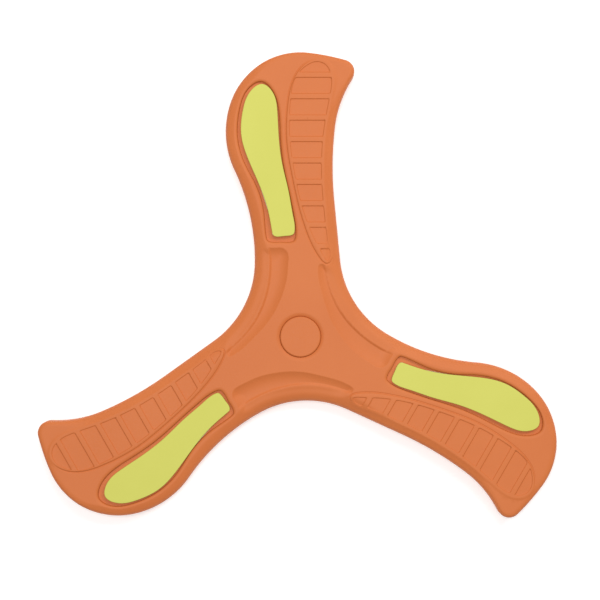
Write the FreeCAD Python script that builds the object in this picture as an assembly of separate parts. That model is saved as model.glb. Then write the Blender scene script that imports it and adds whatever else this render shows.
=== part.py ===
import FreeCAD, Part
import math
import os

# A soft three-wing boomerang. The frame is in millimetres: +Z is up, the origin is on the hub's axis
# at the flat underside, and the first wing points along +Y. Each wing's grip inlay lies along its
# leading edge and its rib panel along its trailing edge.

os.makedirs("parts", exist_ok=True)

# Heights above the underside
PLATEAU = 12.0
SHOULDER = 10.4
RIB_TOP = 12.3
CELL_FLOOR = 11.6
HOLLOW_FLOOR = 10.5
RECESS_FLOOR = 10.0
FILM_THICKNESS = 0.2
INLAY_THICKNESS = 2.0

# Edges and roundings
UNDERSIDE_ROUNDING = 2.0
RECESS_LIP_WIDTH = 1.3
RECESS_LIP_DROP = 0.9

# Hub
DISC_RADIUS = 10.2
MOAT_CLEARANCE = 0.1
MOAT_LIP_RADIUS = 12.4
MOAT_LIP_DROP = 1.1

# Rib panel: the cells are as long as the panel is wide, and ribs part them at an even pitch
FIRST_RIB_TOP = 132.1
RIB_PITCH = 10.71
RIB_WIDTH = 2.1
RIB_COUNT = 9

WINGS = ("a", "b", "c")
WING_STEP = 360.0 / len(WINGS)

# One third of the outline, anticlockwise from the crown of the first wing: the piece of edge, its
# radius, its turn in degrees (or a straight piece's length), and how wide the sloping band is where
# the piece begins. The turns of one third add up to WING_STEP, so three thirds close.
START_HEADING = 173.5
STRAIGHT = None
WING_EDGE = (
    ("crown", 37.0, 77.0, 2.8),
    ("leading bulge", 45.0, 45.0, 4.8),
    ("leading neck", 104.5, -26.3, 4.8),
    ("valley", 49.0, -53.6, 7.0),
    ("next wing's root", STRAIGHT, 29.8, 7.5),
    ("trailing edge", 173.0, -12.3, 4.4),
    ("hook", 58.0, -25.8, 4.2),
    ("tip", 6.0, 106.8, 2.2),
    ("top edge", 118.0, 9.2, 2.4),
)

# Outlines on the first wing, as knots of smooth closed curves
GRIP_INLAY = (
    (-14.2, 51.5), (-13.6, 49.9), (-12.0, 49.2), (-8.5, 49.5), (-5.0, 49.9), (-3.4, 50.7),
    (-2.9, 52.4), (-3.9, 60.0), (-6.3, 72.0), (-9.6, 85.0), (-11.8, 100.0), (-12.7, 112.0),
    (-15.3, 121.5), (-20.5, 125.4), (-26.1, 122.0), (-29.9, 112.5), (-30.6, 100.0),
    (-27.0, 88.0), (-21.1, 75.0), (-16.4, 62.0),
)
GRIP_RECESS = (
    (-17.2, 50.2), (-16.5, 48.2), (-14.6, 47.4), (-9.6, 47.4), (-4.9, 47.4), (-3.1, 48.2),
    (-2.4, 50.2), (-3.1, 60.0), (-5.5, 72.0), (-8.5, 86.0), (-10.0, 100.0), (-10.9, 114.0),
    (-14.0, 123.8), (-19.5, 128.4), (-26.0, 125.0), (-30.5, 114.5), (-31.5, 100.0),
    (-28.0, 87.0), (-21.9, 75.0), (-18.2, 61.0),
)
RIB_PANEL = (
    (13.7, 36.5), (15.8, 38.6), (15.6, 46.0), (13.9, 58.0), (12.6, 72.0), (12.2, 88.0),
    (13.5, 105.0), (16.3, 121.0), (16.8, 132.0), (13.6, 137.3), (8.0, 139.0), (1.9, 136.4),
    (-3.1, 130.0), (-6.6, 116.0), (-7.1, 98.0), (-4.3, 80.0), (0.3, 60.5), (3.9, 50.0),
    (8.9, 40.4),
)
RIB_PANEL_INSIDE = (
    (13.9, 37.9), (14.9, 39.6), (14.6, 45.0), (12.8, 57.0), (11.4, 71.0), (10.8, 87.0),
    (12.2, 105.0), (15.0, 120.5), (15.6, 131.0), (12.7, 136.4), (8.0, 137.9), (3.1, 136.0),
    (-2.3, 130.5), (-5.3, 118.0), (-5.7, 101.0), (-3.4, 83.0), (1.5, 62.0), (5.3, 52.0),
    (10.6, 41.6),
)
HOLLOW_MOUTH = (
    (-15.5, 43.0), (-16.0, 36.0), (-17.7, 25.0), (-20.8, 14.6), (-25.6, 5.2), (-33.4, -3.6),
    (-36.4, -7.6), (-36.0, -9.2), (-34.0, -9.2), (-24.0, -1.2), (-15.1, 8.9), (-9.6, 19.4),
    (-6.8, 29.0), (-6.0, 38.0), (-6.5, 42.4), (-8.6, 44.3), (-13.6, 44.5),
)
HOLLOW_BED = (
    (-14.3, 42.0), (-14.6, 36.0), (-16.1, 26.0), (-19.0, 16.0), (-23.6, 7.4), (-30.3, -1.6),
    (-32.6, -4.9), (-32.4, -5.6), (-31.2, -4.9), (-22.6, 4.2), (-16.2, 13.6), (-12.6, 23.0),
    (-11.4, 31.0), (-10.9, 38.0), (-11.0, 41.8), (-11.5, 42.7), (-13.5, 42.8),
)

# How each hand-placed inlay lies off its recess's middle: along x, along y, and turned in degrees
INLAY_PLACEMENT = {"a": (0.7, 1.0, -1.1), "b": (-0.15, -0.9, -0.4), "c": (-0.3, 0.0, 0.0)}
INLAY_PIVOT = FreeCAD.Vector(-18.0, 87.0, 0.0)

UP = FreeCAD.Vector(0, 0, 1)
CENTRE = FreeCAD.Vector(0, 0, 0)


def advance(place, radius, amount):
    """The (x, y, heading) at the end of an arc of the given turn, or of a straight piece."""
    x, y, heading = place
    start = math.radians(heading)
    if radius is STRAIGHT:
        return (x + amount * math.cos(start), y + amount * math.sin(start), heading)
    end = start + math.radians(amount)
    signed_radius = math.copysign(radius, amount)
    x += signed_radius * (math.sin(end) - math.sin(start))
    y -= signed_radius * (math.cos(end) - math.cos(start))
    return (x, y, heading + amount)


def outline_pieces():
    """Each piece of the whole outline: its radius, and its start, middle and end place and band."""
    place = (0.0, 0.0, START_HEADING)
    pieces = []
    for _ in WINGS:
        for index, (_, radius, amount, band) in enumerate(WING_EDGE):
            next_band = WING_EDGE[(index + 1) % len(WING_EDGE)][3]
            middle = advance(place, radius, amount / 2)
            end = advance(place, radius, amount)
            bands = (band, (band + next_band) / 2, next_band)
            pieces.append((radius, (place, middle, end), bands))
            place = end
    wing_starts = [pieces[wing * len(WING_EDGE)][1][0] for wing in range(len(WINGS))]
    centre_x = sum(start[0] for start in wing_starts) / len(WINGS)
    centre_y = sum(start[1] for start in wing_starts) / len(WINGS)
    centred = []
    for radius, places, bands in pieces:
        moved = [(x - centre_x, y - centre_y, heading) for x, y, heading in places]
        centred.append((radius, moved, bands))
    return centred


def outline_wire(height, banded):
    """The whole outline at a height, or with banded, the inner edge of the sloping band."""
    edges = []
    for radius, places, bands in outline_pieces():
        points = []
        for (x, y, heading), band in zip(places, bands):
            inset = band if banded else 0.0
            inward = math.radians(heading + 90)
            points.append(
                FreeCAD.Vector(x + inset * math.cos(inward), y + inset * math.sin(inward), height)
            )
        if radius is STRAIGHT:
            edges.append(Part.LineSegment(points[0], points[2]).toShape())
        else:
            edges.append(Part.Arc(*points).toShape())
    return Part.Wire(edges)


def smooth_wire(knots, height):
    """The smooth closed curve through the knots, at a height."""
    curve = Part.BSplineCurve()
    curve.interpolate([FreeCAD.Vector(x, y, height) for x, y in knots], PeriodicFlag=True)
    return Part.Wire(curve.toShape())


def prism(knots, bottom, top):
    """An upright solid whose outline is the smooth closed curve through the knots."""
    return Part.Face(smooth_wire(knots, bottom)).extrude(UP * (top - bottom))


def tapered(low_knots, low, high_knots, high):
    """A solid whose straight sloping sides join two smooth outlines at two heights."""
    return Part.makeLoft([smooth_wire(low_knots, low), smooth_wire(high_knots, high)], True, True)


def grown(knots, distance):
    """The knots of an anticlockwise outline, each moved outward by a distance."""
    moved = []
    for index, (x, y) in enumerate(knots):
        before = knots[index - 1]
        after = knots[(index + 1) % len(knots)]
        along = math.atan2(after[1] - before[1], after[0] - before[0])
        moved.append((x + distance * math.sin(along), y - distance * math.cos(along)))
    return moved


def on_wing(shape, wing):
    """A copy of a shape drawn on the first wing, turned onto the given wing."""
    turned = shape.copy()
    turned.rotate(CENTRE, UP, WINGS.index(wing) * WING_STEP)
    return turned


def edges_at(shape, height):
    """The edges that lie flat at a height."""
    found = []
    for edge in shape.Edges:
        box = edge.BoundBox
        if abs(box.ZMin - height) < 1e-4 and abs(box.ZMax - height) < 1e-4:
            found.append(edge)
    return found


def blank():
    """The wings and hub before anything is sunk into them, with a rounded underside edge."""
    slab = Part.Face(outline_wire(0.0, banded=False)).extrude(UP * SHOULDER)
    slab = slab.makeFillet(UNDERSIDE_ROUNDING, edges_at(slab, 0.0))
    low = outline_wire(SHOULDER, banded=False)
    high = outline_wire(PLATEAU, banded=True)
    return slab.fuse(Part.makeLoft([low, high], True, True)).removeSplitter()


def recess_cutter():
    """The recess for one inlay, with a sloping lip."""
    walls = prism(GRIP_RECESS, RECESS_FLOOR, PLATEAU)
    mouth = grown(GRIP_RECESS, RECESS_LIP_WIDTH)
    return walls.fuse(tapered(GRIP_RECESS, PLATEAU - RECESS_LIP_DROP, mouth, PLATEAU))


def hollow_cutter():
    """One crescent hollow: steep beside the crest along the edge, gentle towards the hub."""
    return tapered(HOLLOW_BED, HOLLOW_FLOOR, HOLLOW_MOUTH, PLATEAU)


def rib_panel():
    """The panel's solid frame, which stands a little above the plateau."""
    return prism(RIB_PANEL, RECESS_FLOOR, RIB_TOP)


def cell_cutter():
    """All the shallow cells of one panel: its inside, less the ribs across it."""
    inside = prism(RIB_PANEL_INSIDE, CELL_FLOOR, RIB_TOP + 1)
    ribs = []
    for index in range(RIB_COUNT):
        rib_top = FIRST_RIB_TOP - index * RIB_PITCH
        corner = FreeCAD.Vector(-20, rib_top - RIB_WIDTH, CELL_FLOOR - 1)
        ribs.append(Part.makeBox(50, RIB_WIDTH, 4, corner))
    return inside.cut(ribs)


def moat_cutter():
    """The round recess for the hub disc, with a sloping lip."""
    radius = DISC_RADIUS + MOAT_CLEARANCE
    bore = Part.makeCylinder(radius, PLATEAU, FreeCAD.Vector(0, 0, RECESS_FLOOR))
    lip_base = FreeCAD.Vector(0, 0, PLATEAU - MOAT_LIP_DROP)
    lip = Part.makeCone(radius, MOAT_LIP_RADIUS, MOAT_LIP_DROP, lip_base)
    return bore.fuse(lip)


def foam_body():
    body = blank()
    for wing in WINGS:
        body = body.cut(on_wing(recess_cutter(), wing))
        body = body.cut(on_wing(hollow_cutter(), wing))
        body = body.fuse(on_wing(rib_panel(), wing))
        body = body.cut(on_wing(cell_cutter(), wing))
    return body.cut(moat_cutter())


def placed_inlay(bottom, top, wing):
    """A flat piece with the inlay's outline, as it was set down on the given wing."""
    piece = prism(GRIP_INLAY, bottom, top)
    along_x, along_y, turn = INLAY_PLACEMENT[wing]
    piece.rotate(INLAY_PIVOT, UP, turn)
    piece.translate(FreeCAD.Vector(along_x, along_y, 0))
    return on_wing(piece, wing)


def disc(bottom, thickness):
    return Part.makeCylinder(DISC_RADIUS, thickness, FreeCAD.Vector(0, 0, bottom))


def export(name, shape):
    if not shape.isValid() or not shape.Solids:
        raise ValueError(name + " is not a valid solid")
    shape.exportStep("parts/" + name + ".step")
    print(name, len(shape.Solids), "solid,", round(shape.Volume), "mm3")


FILM_TOP = RECESS_FLOOR + FILM_THICKNESS

export("foam_body", foam_body())
export("hub_disc", disc(FILM_TOP, INLAY_THICKNESS))
export("hub_adhesive", disc(RECESS_FLOOR, FILM_THICKNESS))
for wing_name in WINGS:
    export("grip_inlay_" + wing_name, placed_inlay(FILM_TOP, FILM_TOP + INLAY_THICKNESS, wing_name))
    export("inlay_adhesive_" + wing_name, placed_inlay(RECESS_FLOOR, FILM_TOP, wing_name))
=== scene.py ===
import math
import bpy
import numpy as np
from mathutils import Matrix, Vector
from mathutils.geometry import delaunay_2d_cdt


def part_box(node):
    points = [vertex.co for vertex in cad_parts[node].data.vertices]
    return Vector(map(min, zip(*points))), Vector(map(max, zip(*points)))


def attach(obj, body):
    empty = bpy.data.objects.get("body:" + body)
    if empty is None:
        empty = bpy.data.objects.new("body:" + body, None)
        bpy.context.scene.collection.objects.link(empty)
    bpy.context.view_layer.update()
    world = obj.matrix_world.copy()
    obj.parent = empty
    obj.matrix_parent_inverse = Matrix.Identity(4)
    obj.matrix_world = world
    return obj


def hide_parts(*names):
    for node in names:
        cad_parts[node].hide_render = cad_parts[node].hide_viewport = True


# The looks of a soft three-wing boomerang. The moulded foam body, the three grip inlays and the hub
# disc are rebuilt here as fine meshes that stand for the plain CAD solids, and the adhesive films
# keep their CAD meshes. Lengths below are in millimetres unless a name ends in _M; meshes are
# scaled to metres when they are made. The first wing points along +Y.

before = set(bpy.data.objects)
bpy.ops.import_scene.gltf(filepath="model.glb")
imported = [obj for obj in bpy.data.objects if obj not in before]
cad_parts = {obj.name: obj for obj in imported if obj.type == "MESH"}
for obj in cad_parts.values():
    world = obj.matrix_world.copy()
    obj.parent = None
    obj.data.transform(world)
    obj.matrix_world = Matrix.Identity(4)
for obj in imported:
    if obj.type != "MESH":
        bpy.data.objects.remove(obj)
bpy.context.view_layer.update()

MM = 0.001


def height_of(node, end):
    """The lowest (end 0) or highest (end 1) point of a CAD node, in millimetres."""
    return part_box(node)[end].z / MM


# ---------------------------------------------------------------------------------------------
# Sizes
# ---------------------------------------------------------------------------------------------

# Heights and radii that the CAD gives
UNDERSIDE = height_of("foam_body", 0)
RIM_TOP = height_of("foam_body", 1)
RIM_HEIGHT = 0.3
PLATEAU = RIM_TOP - RIM_HEIGHT
FLOOR = height_of("hub_adhesive", 0)
DISC_BOTTOM = height_of("hub_disc", 0)
DISC_TOP = height_of("hub_disc", 1)
DISC_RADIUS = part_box("hub_disc")[1].x / MM

# One third of the outline, anticlockwise from the crown of the first wing. Each row holds a piece
# of edge, its radius and turn in degrees (or a straight piece's length), and then, where the piece
# begins, how wide the sloping band along the edge is and how far it has dropped at the edge.
START_HEADING = 173.5
STRAIGHT = None
WING_EDGE = (
    ("crown", 37.0, 32.0, 2.8, 0.45),
    ("crown's shoulder", 37.0, 27.0, 3.0, 0.6),
    ("start of the leading edge", 37.0, 18.0, 4.6, 1.9),
    ("leading bulge", 45.0, 45.0, 4.9, 2.2),
    ("leading neck", 104.5, -17.0, 4.9, 2.2),
    ("end of the neck", 104.5, -9.3, 5.6, 2.5),
    ("valley", 49.0, -30.0, 7.2, 3.6),
    ("end of the valley", 49.0, -23.6, 7.9, 3.8),
    ("next wing's root", STRAIGHT, 29.8, 7.5, 3.3),
    ("trailing edge", 173.0, -12.3, 4.5, 1.9),
    ("hook", 58.0, -25.8, 4.3, 1.6),
    ("tip", 6.0, 106.8, 2.4, 0.5),
    ("top edge", 118.0, 9.2, 2.6, 0.5),
)
WINGS = ("a", "b", "c")
WING_STEP = math.radians(360.0 / len(WINGS))

# The body's edge. The sloping band is steeper outwards by the power BAND_CURVE, and its inner end is
# rounded over the share BAND_CORNER of its width. SKIN_GAP keeps the outline inside the CAD's.
OUTLINE_SPACING = 0.7
SKIN_GAP = 0.03
EDGE_ROUNDING = 1.7
UNDERSIDE_ROUNDING = 2.0
PARTING_HEIGHT = 4.6
PARTING_GROOVE = 0.12
BAND_CORNER = 0.14
BAND_CURVE = 1.35

# Outlines on the first wing, as knots of smooth closed curves
GRIP_INLAY = (
    (-14.2, 51.5), (-13.6, 49.9), (-12.0, 49.2), (-8.5, 49.5), (-5.0, 49.9), (-3.4, 50.7),
    (-2.9, 52.4), (-3.9, 60.0), (-6.3, 72.0), (-9.6, 85.0), (-11.8, 100.0), (-12.7, 112.0),
    (-15.3, 121.5), (-20.5, 125.4), (-26.1, 122.0), (-29.9, 112.5), (-30.6, 100.0),
    (-27.0, 88.0), (-21.1, 75.0), (-16.4, 62.0),
)
GRIP_RECESS = (
    (-17.2, 50.2), (-16.5, 48.2), (-14.6, 47.4), (-9.6, 47.4), (-4.9, 47.4), (-3.1, 48.2),
    (-2.4, 50.2), (-3.1, 60.0), (-5.5, 72.0), (-8.5, 86.0), (-10.0, 100.0), (-10.9, 114.0),
    (-14.1, 123.5), (-19.5, 127.8), (-25.8, 124.6), (-30.4, 114.5), (-31.5, 100.0),
    (-28.0, 87.0), (-21.9, 75.0), (-18.2, 61.0),
)
RIB_PANEL = (
    (13.7, 36.5), (15.8, 38.6), (15.6, 46.0), (13.9, 58.0), (12.6, 72.0), (12.2, 88.0),
    (13.5, 105.0), (16.3, 121.0), (16.8, 132.0), (13.6, 137.3), (8.0, 139.0), (1.9, 136.4),
    (-3.1, 130.0), (-6.6, 116.0), (-7.1, 98.0), (-4.3, 80.0), (0.3, 60.5), (3.9, 50.0),
    (8.9, 40.4),
)
RIB_PANEL_INSIDE = (
    (13.9, 37.9), (14.9, 39.6), (14.6, 45.0), (12.8, 57.0), (11.4, 71.0), (10.8, 87.0),
    (12.2, 105.0), (15.0, 120.5), (15.6, 131.0), (12.7, 136.4), (8.0, 137.9), (3.1, 136.0),
    (-2.3, 130.5), (-5.3, 118.0), (-5.7, 101.0), (-3.4, 83.0), (1.5, 62.0), (5.3, 52.0),
    (10.6, 41.6),
)
# The hollow's hub side and ends. The hollow stops at the inner end of the sloping band, and the outer
# side of this loop lies under the band.
HOLLOW_REACH = (
    (-19.0, 44.3), (-13.6, 44.5), (-8.6, 44.3), (-6.5, 42.4), (-6.0, 38.0), (-6.8, 29.0),
    (-9.6, 19.4), (-15.1, 8.9), (-24.0, -1.2), (-33.6, -9.2), (-36.0, -9.9), (-37.4, -8.0),
    (-38.0, -4.0), (-34.0, 3.0), (-27.0, 13.0), (-22.5, 24.0), (-20.5, 34.0), (-20.3, 41.5),
)

# Recesses: the lip that rolls down to each wall, and the width of the nearly upright wall
RECESS_LIP = 1.8
RECESS_LIP_DROP = 0.9
WALL_WIDTH = 0.15

# Rib panels: cells sunk between the ribs, a groove along the sharp side, a soft step on the other
CELL_DEPTH = 0.55
STEP_WIDTH = 0.55
CELL_CORNER = 0.9
GROOVE_DEPTH = 0.32
GROOVE_WIDTH = 0.65
SOFT_STEP = 1.6
SHARP_SIDE = (-0.77, -0.64)
FIRST_RIB_TOP = 132.1
RIB_PITCH = 10.71
RIB_WIDTH = 2.1
RIB_COUNT = 9

# Hollows: a floor that levels off away from the hub side, and along the sloping band a crest that
# stands above the floor and below the plateau
HOLLOW_DEPTH = 1.8
HOLLOW_RISE = 7.5
HOLLOW_CURVE = 2.5
HOLLOW_LIP = 1.6
CREST_DEPTH = 1.0
CREST_RISE = 4.2

# The moat round the hub disc
MOAT_RADIUS = DISC_RADIUS + 0.04
MOAT_WIDTH = 2.3
MOAT_DEPTH = 0.75
MOAT_CURVE = 2.0

# How each hand-placed inlay lies off its recess's middle: along x, along y, and turned in degrees
INLAY_PLACEMENT = {"a": (0.7, 1.0, -1.1), "b": (-0.15, -0.9, -0.4), "c": (-0.3, 0.0, 0.0)}
INLAY_PIVOT = np.array((-18.0, 87.0))
CUT_EDGE_ROUNDING = 0.3
DISC_EDGE_ROUNDING = 0.8


# ---------------------------------------------------------------------------------------------
# Curves: arrays of points in millimetres
# ---------------------------------------------------------------------------------------------

def turned(points, angle):
    """Points turned about the origin, anticlockwise by an angle in radians."""
    cosine, sine = math.cos(angle), math.sin(angle)
    return points @ np.array(((cosine, sine), (-sine, cosine)))


def ease(share):
    """0 to 1 with level ends."""
    share = np.clip(share, 0, 1)
    return share * share * (3 - 2 * share)


def edge_place(start, heading, radius, amount, share):
    """The place and the heading at a share of the way along one piece of edge."""
    x, y = start
    if radius is STRAIGHT:
        gone = share * amount
        return (x + gone * math.cos(heading), y + gone * math.sin(heading)), heading
    bent = heading + math.radians(amount) * share
    reach = math.copysign(radius, amount)
    place = (x + reach * (math.sin(bent) - math.sin(heading)),
             y - reach * (math.cos(bent) - math.cos(heading)))
    return place, bent


def wing_outline():
    """The outline's points, inward directions, and rows of band width and edge drop."""
    start, heading = (0.0, 0.0), math.radians(START_HEADING)
    points, headings, bands, crowns = [], [], [], []
    for _ in WINGS:
        crowns.append(start)
        for index, (_, radius, amount, *band) in enumerate(WING_EDGE):
            next_band = np.array(WING_EDGE[(index + 1) % len(WING_EDGE)][3:])
            length = amount if radius is STRAIGHT else radius * math.radians(abs(amount))
            count = max(6, round(length / OUTLINE_SPACING))
            for step in range(count):
                place, bent = edge_place(start, heading, radius, amount, step / count)
                points.append(place)
                headings.append(bent)
                blend = ease(step / count)
                bands.append(np.array(band) * (1 - blend) + next_band * blend)
            start, heading = edge_place(start, heading, radius, amount, 1)
    inward = np.column_stack((-np.sin(headings), np.cos(headings)))
    return np.array(points) - np.mean(crowns, axis=0) + SKIN_GAP * inward, inward, np.array(bands)


def smooth_loop(knots, spacing=0.8):
    """Points along the smooth closed cubic curve through the knots."""
    knots = np.array(knots, float)
    count = len(knots)
    ahead = np.roll(knots, -1, axis=0)
    spans = np.linalg.norm(ahead - knots, axis=1)
    system = np.zeros((count, count))
    slopes = (ahead - knots) / spans[:, None]
    for index in range(count):
        before, after = spans[index - 1], spans[index]
        system[index, index - 1] = before
        system[index, index] = 2 * (before + after)
        system[index, (index + 1) % count] = after
    bends = np.linalg.solve(system, 6 * (slopes - np.roll(slopes, 1, axis=0)))
    points = []
    for index in range(count):
        share = np.linspace(0, 1, max(3, math.ceil(spans[index] / spacing)), endpoint=False)[:, None]
        rest = 1 - share
        curve = (rest ** 3 - rest) * bends[index] + (share ** 3 - share) * bends[(index + 1) % count]
        points.append(rest * knots[index] + share * ahead[index] + spans[index] ** 2 / 6 * curve)
    return np.vstack(points)


def inward_normals(loop):
    """The direction to the left of travel at each point of a closed loop."""
    along = np.roll(loop, -1, axis=0) - np.roll(loop, 1, axis=0)
    along /= np.linalg.norm(along, axis=1)[:, None]
    return np.column_stack((-along[:, 1], along[:, 0]))


def inset(loop, distance):
    """An anticlockwise closed loop moved inward, or outward for a negative distance."""
    return loop + inward_normals(loop) * np.reshape(distance, (-1, 1))


def depth_inside(points, loop, batch=1500):
    """How far each point is inside an anticlockwise closed loop (negative outside), and where along
    the loop the nearest place is, as an index with a fraction."""
    spans = np.roll(loop, -1, axis=0) - loop
    squares = np.sum(spans ** 2, axis=1)
    depths, places = np.empty(len(points)), np.empty(len(points))
    for first in range(0, len(points), batch):
        part = points[first:first + batch, None, :] - loop[None]
        share = np.clip(np.sum(part * spans, axis=2) / squares, 0, 1)
        gap = part - share[..., None] * spans
        nearest = np.argmin(np.sum(gap ** 2, axis=2), axis=1)
        row = np.arange(len(nearest))
        distance = np.linalg.norm(gap[row, nearest], axis=1)
        from_start, span = part[row, nearest], spans[nearest]
        side = span[:, 0] * from_start[:, 1] - span[:, 1] * from_start[:, 0]
        depths[first:first + batch] = np.where(side >= 0, distance, -distance)
        places[first:first + batch] = nearest + share[row, nearest]
    return depths, places


def at_places(values, places):
    """The values at fractional places along a closed loop."""
    low = np.floor(places).astype(int) % len(values)
    share = places - np.floor(places)
    return (values[low].T * (1 - share) + values[(low + 1) % len(values)].T * share).T


OUTLINE, OUTLINE_INWARD, BANDS = wing_outline()
INLAY_LOOP = smooth_loop(GRIP_INLAY)
RECESS_LOOP = smooth_loop(GRIP_RECESS)
PANEL_LOOP = smooth_loop(RIB_PANEL)
INSIDE_LOOP = smooth_loop(RIB_PANEL_INSIDE)
REACH_LOOP = smooth_loop(HOLLOW_REACH)[::-1]


# ---------------------------------------------------------------------------------------------
# Height of the body's top face
# ---------------------------------------------------------------------------------------------

def soft_ramp(value, corner):
    """0 below zero and the value above it, with a rounded corner."""
    middle = (value + corner) ** 2 / (4 * corner)
    return np.where(value <= -corner, 0, np.where(value >= corner, value, middle))


def quarter_round(distance, width):
    """From 1 at distance 0, where it is upright, to 0 at the width, where it is level."""
    share = np.clip(1 - distance / width, 0, 1)
    return 1 - np.sqrt(np.maximum(0, 1 - share ** 2))


def sunk(base, distance, lip, lip_drop):
    """The base height sunk to the recess floor: distance is outward from the recess wall."""
    rolled = base - lip_drop * quarter_round(np.maximum(distance, 0), lip)
    into_wall = np.clip(-distance / WALL_WIDTH, 0, 1)
    return rolled * (1 - into_wall) + FLOOR * into_wall


def near(points, loop, margin):
    """Which points are in the loop's bounding box, grown by a margin."""
    low, high = loop.min(axis=0) - margin, loop.max(axis=0) + margin
    return np.all((points > low) & (points < high), axis=1)


def hollow_sinks(points):
    """How far the hollows' floor, and their crest along the sloping band, lie below the plateau."""
    floor_sink = np.zeros(len(points))
    crest_sink = np.zeros(len(points))
    for wing in range(len(WINGS)):
        local = turned(points, -wing * WING_STEP)
        chosen = near(local, REACH_LOOP, 0.0)
        reach, _ = depth_inside(local[chosen], REACH_LOOP)
        share = np.clip(reach, 0, HOLLOW_RISE) / HOLLOW_RISE
        floor_sink[chosen] += HOLLOW_DEPTH * (1 - (1 - share) ** HOLLOW_CURVE)
        crest_sink[chosen] += CREST_DEPTH * ease(reach / CREST_RISE)
    return floor_sink, crest_sink


def rib_gap(across):
    """How far along the wing each place is from the nearest rib's side, negative on a rib."""
    gaps = np.full(len(across), 1e3)
    for index in range(RIB_COUNT):
        middle = FIRST_RIB_TOP - index * RIB_PITCH - RIB_WIDTH / 2
        gaps = np.minimum(gaps, np.abs(across - middle) - RIB_WIDTH / 2)
    return gaps


def groove_share(places):
    """How sharp the rib panel's outline is: 1 on its lower left, 0 at its top right."""
    facing = -inward_normals(PANEL_LOOP) @ SHARP_SIDE
    share = ease((facing + 0.6) / 0.8)
    smoothing_rounds = 12
    for _ in range(smoothing_rounds):
        share = (np.roll(share, 1) + 2 * share + np.roll(share, -1)) / 4
    return at_places(share, places)


def panel_rise(local):
    """How far the rib panel on the first wing stands above, or its cells lie below, the plateau."""
    rise = np.zeros(len(local))
    chosen = near(local, PANEL_LOOP, SOFT_STEP)
    part = local[chosen]
    outer, places = depth_inside(part, PANEL_LOOP)
    share = groove_share(places)
    sharp = ease((outer + 0.1) / GROOVE_WIDTH)
    soft = ease((outer + SOFT_STEP - STEP_WIDTH) / SOFT_STEP)
    groove = GROOVE_DEPTH * share * (1 - ease(np.abs(outer) / GROOVE_WIDTH))
    inner, _ = depth_inside(part, INSIDE_LOOP)
    gaps = rib_gap(part[:, 1])
    corner = np.hypot(np.maximum(CELL_CORNER - inner, 0), np.maximum(CELL_CORNER - gaps, 0))
    cell = np.where((inner < CELL_CORNER) & (gaps < CELL_CORNER), CELL_CORNER - corner,
                    np.minimum(inner, gaps))
    rim = RIM_HEIGHT * (sharp * share + soft * (1 - share))
    rise[chosen] = rim - groove - CELL_DEPTH * ease(cell / STEP_WIDTH)
    return rise


def top_height(points):
    """The height of the body's top face."""
    depth, places = depth_inside(points, OUTLINE)
    width, edge_drop = at_places(BANDS, places).T
    floor_sink, crest_sink = hollow_sinks(points)
    slope = (edge_drop - crest_sink) * soft_ramp(1 - depth / width, BAND_CORNER) ** BAND_CURVE
    past_crest = ease((depth - width) / HOLLOW_LIP)
    height = PLATEAU - slope - crest_sink - (floor_sink - crest_sink) * past_crest
    for wing in range(len(WINGS)):
        height = height + panel_rise(turned(points, -wing * WING_STEP))
    for wing in range(len(WINGS)):
        local = turned(points, -wing * WING_STEP)
        chosen = near(local, RECESS_LOOP, RECESS_LIP)
        inside, _ = depth_inside(local[chosen], RECESS_LOOP)
        height[chosen] = sunk(height[chosen], -inside, RECESS_LIP, RECESS_LIP_DROP)
    from_disc = np.linalg.norm(points, axis=1) - MOAT_RADIUS
    share = np.clip(from_disc / MOAT_WIDTH, 0, 1)
    height = height - MOAT_DEPTH * (1 - share) ** MOAT_CURVE
    height = sunk(height, from_disc, MOAT_WIDTH, 0)
    return height - EDGE_ROUNDING * quarter_round(depth, EDGE_ROUNDING)


# ---------------------------------------------------------------------------------------------
# Meshes
# ---------------------------------------------------------------------------------------------

def flat_mesh(loops, fill):
    """Triangles that fill the first loop and have edges along the others: points and faces."""
    points = np.vstack([*loops, fill])
    edges = []
    first = 0
    for loop in loops:
        count = len(loop)
        edges += [(first + index, first + (index + 1) % count) for index in range(count)]
        first += count
    inside_only = 1
    same_place = 1e-4
    made = delaunay_2d_cdt([Vector(point) for point in points], edges, [], inside_only, same_place)
    return np.array([tuple(point) for point in made[0]]), made[2], made[3]


def slope_normals(points, height):
    """Upward normals of a height function."""
    step = 0.02
    across = (height(points + (step, 0)) - height(points - (step, 0))) / (2 * step)
    along = (height(points + (0, step)) - height(points - (0, step))) / (2 * step)
    normals = np.column_stack((-across, -along, np.ones(len(points))))
    return normals / np.linalg.norm(normals, axis=1)[:, None]


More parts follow.
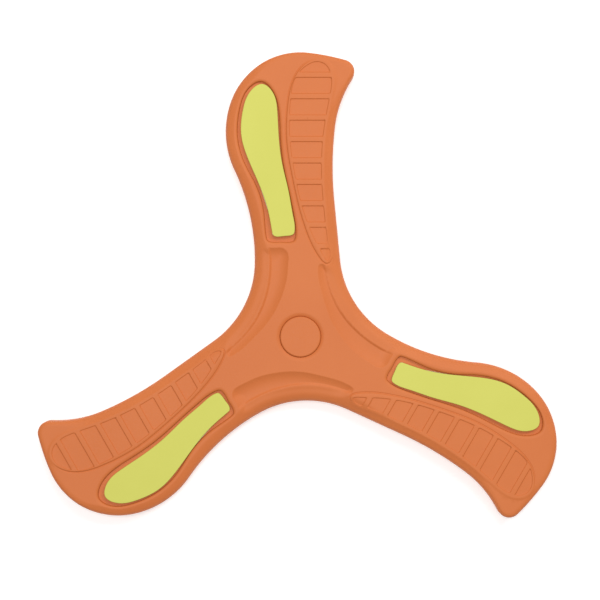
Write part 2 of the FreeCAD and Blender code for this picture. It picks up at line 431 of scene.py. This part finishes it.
def closed_piece(name, outline, outward, contours, fill, height, side, bottom):
    """A closed piece: a top face from a height function inside the outline, side rows given as
    (inset, height, upward tilt of the normal in degrees), and a flat underside, which makes do with
    few of the fill's points."""
    top_points, top_faces, origins = flat_mesh([outline, *contours], fill)
    places = np.column_stack((top_points, height(top_points)))
    normals = slope_normals(top_points, height)
    count = len(outline)
    rim = np.empty(count, int)
    for index, sources in enumerate(origins):
        for source in sources:
            if source < count:
                rim[source] = index
    normals[rim] = np.column_stack((outward, np.zeros(count)))
    faces = [tuple(face) for face in top_faces]
    rows = [rim]
    all_places, all_normals = [places], [normals]
    total = len(places)
    for inset_by, level, tilt in side:
        ring = outline - outward * inset_by
        flat, up = math.cos(math.radians(tilt)), math.sin(math.radians(tilt))
        all_places.append(np.column_stack((ring, np.full(count, level))))
        all_normals.append(np.column_stack((outward * flat, np.full(count, up))))
        rows.append(total + np.arange(count))
        total += count
    for upper, lower in zip(rows, rows[1:]):
        ahead_upper, ahead_lower = np.roll(upper, -1), np.roll(lower, -1)
        faces += list(zip(upper.tolist(), lower.tolist(), ahead_lower.tolist(), ahead_upper.tolist()))
    few = fill[::7]
    under_points, under_faces, origins = flat_mesh([outline - outward * side[-1][0]], few)
    place_of = {}
    extra = []
    for index, sources in enumerate(origins):
        on_rim = [source for source in sources if source < count]
        if on_rim:
            place_of[index] = int(rows[-1][on_rim[0]])
        else:
            place_of[index] = total + len(extra)
            extra.append((*under_points[index], bottom))
    faces += [tuple(place_of[corner] for corner in reversed(face)) for face in under_faces]
    if extra:
        all_places.append(np.array(extra))
        all_normals.append(np.tile((0.0, 0.0, -1.0), (len(extra), 1)))
    mesh = bpy.data.meshes.new(name)
    mesh.from_pydata((np.vstack(all_places) * MM).tolist(), [], faces)
    mesh.validate()
    mesh.polygons.foreach_set("use_smooth", [True] * len(mesh.polygons))
    mesh.normals_split_custom_set_from_vertices(np.vstack(all_normals).tolist())
    piece = bpy.data.objects.new(name, mesh)
    bpy.context.collection.objects.link(piece)
    return piece


def grid_points(loop, spacing, margin, seed):
    """Points spread inside a closed loop, slightly off an even grid."""
    low, high = loop.min(axis=0), loop.max(axis=0)
    across, along = np.meshgrid(np.arange(low[0], high[0], spacing),
                                np.arange(low[1], high[1], spacing * 0.87))
    across[1::2] += spacing / 2
    points = np.column_stack((across.ravel(), along.ravel()))
    points += np.random.default_rng(seed).uniform(-0.15, 0.15, points.shape) * spacing
    depth, _ = depth_inside(points, loop)
    return points[depth > margin]


def panel_contours():
    """Lines along the walls and ribs of the first wing's rib panel."""
    contours = [inset(PANEL_LOOP, share * GROOVE_WIDTH) for share in (-1, -0.5, 0, 0.4, 0.9)]
    for share in (0.0, 0.5, 1.0):
        contours.append(inset(INSIDE_LOOP, share * STEP_WIDTH))
    return contours


def rib_lines():
    """Points along both sides of every rib, from the top to the foot of its slope."""
    points = []
    across = np.arange(-8.0, 18.0, 0.7)
    for index in range(RIB_COUNT):
        top = FIRST_RIB_TOP - index * RIB_PITCH
        for edge, outward in ((top, 1), (top - RIB_WIDTH, -1)):
            for share in (0.0, 0.33, 0.67, 1.0):
                level = edge + outward * share * STEP_WIDTH
                points.append(np.column_stack((across, np.full(len(across), level))))
    points = np.vstack(points)
    inner, _ = depth_inside(points, INSIDE_LOOP)
    return points[inner > 0.1]


def body_contours():
    """Lines that the body's top mesh follows, one set of each kind on every wing."""
    widths = BANDS[:, 0]
    contours = []
    for share in (0.04, 0.13, 0.3, 0.55, 1.0):
        contours.append(OUTLINE + OUTLINE_INWARD * EDGE_ROUNDING * share)
    for offset in (1 - BAND_CORNER, 1.0, 1 + BAND_CORNER):
        contours.append(OUTLINE + OUTLINE_INWARD * (widths * offset)[:, None])
    contours.append(OUTLINE + OUTLINE_INWARD * (widths + HOLLOW_LIP)[:, None])
    for wing in range(len(WINGS)):
        angle = wing * WING_STEP
        for share in (0.0, 0.05, 0.15, 0.32, 0.55, 0.8, 1.0):
            contours.append(turned(inset(RECESS_LOOP, -share * RECESS_LIP), angle))
        for offset in (WALL_WIDTH, WALL_WIDTH + 0.06):
            contours.append(turned(inset(RECESS_LOOP, offset), angle))
        contours += [turned(line, angle) for line in panel_contours()]
        for offset in (-0.3, 0.0, 0.25, 0.8):
            contours.append(turned(inset(REACH_LOOP, offset), angle))
    around = np.linspace(0, 2 * math.pi, 96, endpoint=False)
    circle = np.column_stack((np.cos(around), np.sin(around)))
    for share in (0.0, 0.12, 0.25, 0.4, 0.55, 0.7, 0.85, 0.95, 1.0, 1.1):
        contours.append(circle * (MOAT_RADIUS + share * MOAT_WIDTH))
    contours.append(circle * (MOAT_RADIUS - WALL_WIDTH))
    return contours


def body_fill():
    """Loose points between the contours: fine where the face curves, sparse where it is level."""
    loose = [grid_points(OUTLINE, spacing=2.6, margin=1.8, seed=1)]
    for wing in range(len(WINGS)):
        angle = wing * WING_STEP
        loose.append(turned(grid_points(REACH_LOOP, spacing=0.9, margin=0.5, seed=2), angle))
        loose.append(turned(rib_lines(), angle))
    loose = np.vstack(loose)
    depth, _ = depth_inside(loose, OUTLINE)
    clear_of_edge = 1.6
    return loose[depth > clear_of_edge]


def foam_body():
    """The moulded body, with its rounded edges and the parting line round its side."""
    half_groove = PARTING_GROOVE * 1.6
    brow = 0.02
    side = [
        (0.0, PARTING_HEIGHT + half_groove * 1.5, 0),
        (brow, PARTING_HEIGHT + half_groove, -20),
        (PARTING_GROOVE, PARTING_HEIGHT, 0),
        (brow, PARTING_HEIGHT - half_groove, 20),
        (0.0, PARTING_HEIGHT - half_groove * 1.5, 0),
    ]
    for angle in (0, 15, 30, 45, 60, 75, 90):
        turn = math.radians(angle)
        inset_by = UNDERSIDE_ROUNDING * (1 - math.cos(turn))
        side.append((inset_by, UNDERSIDE + UNDERSIDE_ROUNDING * (1 - math.sin(turn)), -angle))
    return closed_piece("foam_body_moulding", OUTLINE, -OUTLINE_INWARD, body_contours(), body_fill(),
                        top_height, side, UNDERSIDE)


def cut_piece(name, outline, bottom, top, rounding):
    """A die-cut foam piece: upright cut sides, and a top edge that is rounded a little."""
    outward = -inward_normals(outline)

    def height(points):
        depth, _ = depth_inside(points, outline)
        return top - rounding * quarter_round(depth, rounding)

    contours = [inset(outline, share * rounding) for share in (0.05, 0.2, 0.5, 1.0)]
    fill = grid_points(outline, spacing=2.5, margin=0.8, seed=3)
    lower_edge = 0.1
    side = [(0.0, bottom + lower_edge, 0), (lower_edge / 2, bottom, -60)]
    return closed_piece(name, outline, outward, contours, fill, height, side, bottom)


def inlay_loop(wing):
    """The outline of one inlay as it was set down on its wing."""
    along_x, along_y, turn = INLAY_PLACEMENT[wing]
    placed = turned(INLAY_LOOP - INLAY_PIVOT, math.radians(turn)) + INLAY_PIVOT
    return turned(placed + (along_x, along_y), WINGS.index(wing) * WING_STEP)


def disc_loop():
    """The hub disc's outline."""
    around = np.linspace(0, 2 * math.pi, 120, endpoint=False)
    return DISC_RADIUS * np.column_stack((np.cos(around), np.sin(around)))


# ---------------------------------------------------------------------------------------------
# Materials
# ---------------------------------------------------------------------------------------------

ORANGE_LIGHT = (0.590, 0.162, 0.042)
ORANGE_DARK = (0.560, 0.146, 0.036)
LIME_LIGHT = (0.580, 0.575, 0.112)
LIME_DARK = (0.550, 0.545, 0.098)
ADHESIVE_LIGHT = (0.66, 0.56, 0.40)
ADHESIVE_DARK = (0.50, 0.38, 0.24)


def new_material(name):
    """A material, its node tree, its shader, and a function that adds and wires a node."""
    material = bpy.data.materials.new(name)
    material.use_nodes = True
    tree = material.node_tree
    shader = tree.nodes["Principled BSDF"]

    def add(kind, settings=None, **inputs):
        node = tree.nodes.new(kind)
        for key, value in (settings or {}).items():
            setattr(node, key, value)
        for key, value in inputs.items():
            socket = node.inputs[key.replace("_", " ")]
            if isinstance(value, bpy.types.NodeSocket):
                tree.links.new(value, socket)
            else:
                socket.default_value = value
        return node

    return material, tree, shader, add


def colour_between(tree, add, share, first, second):
    """A colour that goes from the first to the second as the share's socket goes from 0 to 1."""
    share_input, first_input, second_input, colour_output = 0, 6, 7, 2
    blend = add("ShaderNodeMix", {"data_type": "RGBA"})
    tree.links.new(share, blend.inputs[share_input])
    blend.inputs[first_input].default_value = (*first, 1)
    blend.inputs[second_input].default_value = (*second, 1)
    return blend.outputs[colour_output]


def scaled_sum(tree, add, value, scale, added):
    """One socket times a number, plus another socket."""
    node = add("ShaderNodeMath", {"operation": "MULTIPLY_ADD"})
    tree.links.new(value, node.inputs[0])
    node.inputs[1].default_value = scale
    tree.links.new(added, node.inputs[2])
    return node.outputs[0]


def foam_material(name, light, dark, grain, grain_depth_M, roughness):
    """Soft foam: colour that varies a little in clouds and in fine cells, and a finely grained skin."""
    material, tree, shader, add = new_material(name)
    place = add("ShaderNodeTexCoord").outputs["Object"]
    clouds = add("ShaderNodeTexNoise", Vector=place, Scale=28.0, Detail=3.0, Roughness=0.55)
    cells = add("ShaderNodeTexNoise", Vector=place, Scale=grain, Detail=2.0, Roughness=0.6)
    pores = add("ShaderNodeTexVoronoi", Vector=place, Scale=grain * 1.3, Randomness=1.0)
    mottle = scaled_sum(tree, add, cells.outputs["Fac"], 0.45, clouds.outputs["Fac"])
    share = add("ShaderNodeMapRange", {"clamp": True}, Value=mottle, From_Min=0.45, From_Max=1.0)
    colour = colour_between(tree, add, share.outputs[0], dark, light)
    tree.links.new(colour, shader.inputs["Base Color"])
    rough = add("ShaderNodeMapRange", {"clamp": True}, Value=cells.outputs["Fac"], From_Min=0.3,
                From_Max=0.7, To_Min=roughness - 0.06, To_Max=roughness + 0.06)
    tree.links.new(rough.outputs[0], shader.inputs["Roughness"])
    relief = scaled_sum(tree, add, pores.outputs["Distance"], -0.5, cells.outputs["Fac"])
    bump = add("ShaderNodeBump", Height=relief, Strength=0.35, Distance=grain_depth_M)
    tree.links.new(bump.outputs[0], shader.inputs["Normal"])
    shader.inputs["Specular IOR Level"].default_value = 0.3
    return material


def adhesive_material():
    """Milky adhesive film with faint streaks."""
    material, tree, shader, add = new_material("adhesive_film")
    place = add("ShaderNodeTexCoord").outputs["Object"]
    streaks = add("ShaderNodeTexNoise", Vector=place, Scale=160.0, Detail=3.0)
    colour = colour_between(tree, add, streaks.outputs["Fac"], ADHESIVE_DARK, ADHESIVE_LIGHT)
    tree.links.new(colour, shader.inputs["Base Color"])
    rough = add("ShaderNodeMapRange", Value=streaks.outputs["Fac"], To_Min=0.25, To_Max=0.5)
    tree.links.new(rough.outputs[0], shader.inputs["Roughness"])
    return material


def paint(piece, material):
    """Gives a piece one material in place of any it has."""
    piece.data.materials.clear()
    piece.data.materials.append(material)


# ---------------------------------------------------------------------------------------------
# The object
# ---------------------------------------------------------------------------------------------

orange = foam_material("orange_foam_skin", ORANGE_LIGHT, ORANGE_DARK,
                       grain=1500.0, grain_depth_M=0.00012, roughness=0.55)
lime = foam_material("lime_sheet_foam", LIME_LIGHT, LIME_DARK,
                     grain=2200.0, grain_depth_M=0.00010, roughness=0.62)
adhesive = adhesive_material()

body = foam_body()
paint(body, orange)
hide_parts("foam_body")
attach(body, "root")

hub_disc = cut_piece("hub_disc_foam", disc_loop(), DISC_BOTTOM, DISC_TOP, DISC_EDGE_ROUNDING)
paint(hub_disc, orange)
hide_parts("hub_disc")
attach(hub_disc, "root")

for wing in WINGS:
    node = "grip_inlay_" + wing
    inlay = cut_piece(node + "_foam", inlay_loop(wing), height_of(node, 0), height_of(node, 1),
                      CUT_EDGE_ROUNDING)
    paint(inlay, lime)
    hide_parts(node)
    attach(inlay, "root")
    paint(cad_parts["inlay_adhesive_" + wing], adhesive)
paint(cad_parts["hub_adhesive"], adhesive)


# ---------------------------------------------------------------------------------------------
# Floor, lights and camera, in metres
# ---------------------------------------------------------------------------------------------

def floor():
    """A plain white table, lit a little from within, so that it stays white beside the object."""
    half_M = 4.0
    gap_M = 0.0001
    mesh = bpy.data.meshes.new("floor")
    corners = [(-half_M, -half_M, 0), (half_M, -half_M, 0), (half_M, half_M, 0), (-half_M, half_M, 0)]
    mesh.from_pydata(corners, [], [(0, 1, 2, 3)])
    piece = bpy.data.objects.new("floor", mesh)
    piece.location.z = UNDERSIDE * MM - gap_M
    bpy.context.collection.objects.link(piece)
    material, _, shader, _ = new_material("pale_floor")
    shader.inputs["Base Color"].default_value = (0.92, 0.92, 0.92, 1)
    shader.inputs["Roughness"].default_value = 0.9
    shader.inputs["Specular IOR Level"].default_value = 0.0
    shader.inputs["Emission Color"].default_value = (1, 1, 1, 1)
    shader.inputs["Emission Strength"].default_value = 0.25
    paint(piece, material)


def area_light(name, place, size, power):
    """A square soft light that faces the object."""
    data = bpy.data.lights.new(name, "AREA")
    data.shape = "SQUARE"
    data.size = size
    data.energy = power
    lamp = bpy.data.objects.new(name, data)
    lamp.location = place
    lamp.rotation_euler = (-Vector(place)).to_track_quat("-Z", "Y").to_euler()
    bpy.context.collection.objects.link(lamp)


def camera():
    """Straight above the object, framed a little above its hub."""
    data = bpy.data.cameras.new("camera")
    data.sensor_width = 36.0
    data.lens = 100.0
    data.clip_end = 50.0
    eye = bpy.data.objects.new("camera", data)
    view_width_M = 0.300
    middle_M = (-0.0002, 0.0184)
    eye.location = (*middle_M, PLATEAU * MM + view_width_M * data.lens / data.sensor_width)
    bpy.context.collection.objects.link(eye)
    bpy.context.scene.camera = eye


def studio():
    """Light from nearly overhead, with two weaker soft lights towards the top of the picture."""
    world = bpy.data.worlds.new("studio")
    world.use_nodes = True
    background = world.node_tree.nodes["Background"]
    background.inputs["Color"].default_value = (1, 1, 1, 1)
    background.inputs["Strength"].default_value = 0.36
    bpy.context.scene.world = world
    area_light("overhead", (-0.15, 0.0, 1.25), 0.6, 7.7)
    area_light("top", (0.0, 0.72, 0.90), 0.45, 3.0)
    area_light("top_right", (0.60, 0.60, 0.79), 0.43, 4.2)
    bpy.context.scene.view_settings.view_transform = "Standard"


floor()
camera()
studio()
